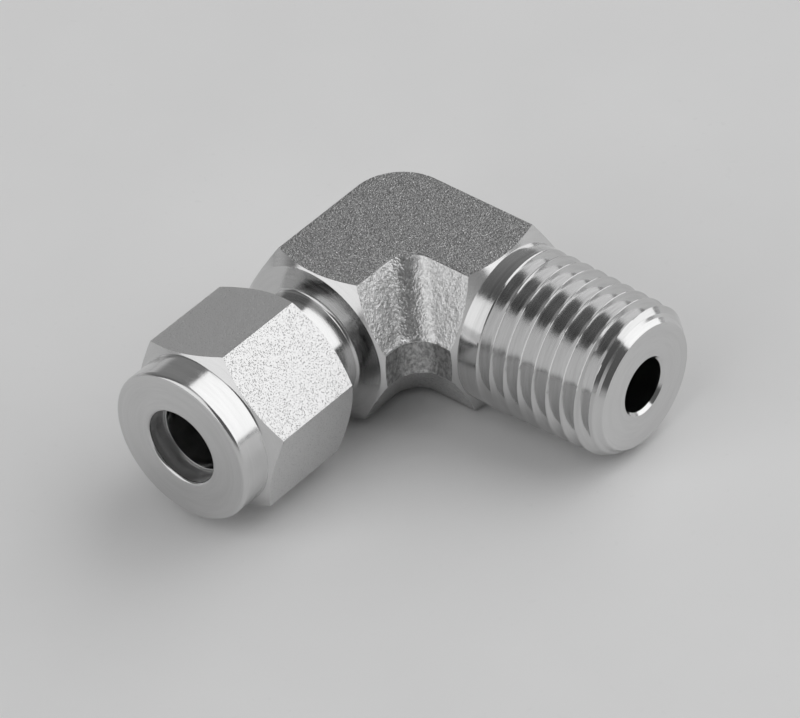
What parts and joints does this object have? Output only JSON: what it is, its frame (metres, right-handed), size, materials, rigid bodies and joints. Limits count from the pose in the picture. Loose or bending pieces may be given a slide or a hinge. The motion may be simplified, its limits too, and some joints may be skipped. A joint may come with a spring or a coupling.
{
  "type": "male elbow fitting",
  "caption": "90 degree male elbow for instrument tube: forged hexagonal body, male taper pipe thread on one arm, tube nut with ferrules on the other.",
  "frame": {"origin": "crossing of the two arms' centrelines, inside the elbow", "axes": "+X along the arm with the male thread towards its end face, -Y along the tube arm towards the nut's face, +Z square to the plane of the elbow, out of one of the body's flats"},
  "size_m": [0.0332, 0.0353, 0.016],
  "materials": {
    "body_steel": "blasted forging skin on the hexagon, fine turned finish on both arms",
    "nut_steel": "matt bar skin on the flats, fine turned collar, face and chamfers",
    "ferrule_steel": "fine turned"
  },
  "bodies": {
    "elbow": {"elbow_body": "body_steel"},
    "ferrules": {"front_ferrule": "ferrule_steel", "back_ferrule": "ferrule_steel"},
    "nut": {"tube_nut": "nut_steel"}
  },
  "joints": [
    {"name": "nut_advance", "type": "slide", "parent": "elbow", "child": "ferrules", "axis": [0, -1, 0], "range_m": [0, 0.00636]},
    {"name": "nut_turn", "type": "hinge", "parent": "ferrules", "child": "nut", "pos_m": [0, -0.0216, 0], "axis": [0, -1, 0], "range_deg": [0, 1800]}
  ],
  "couplings": [
    {"joint": "nut_advance", "follows": "nut_turn", "m_per_rad": 0.00020213}
  ]
}
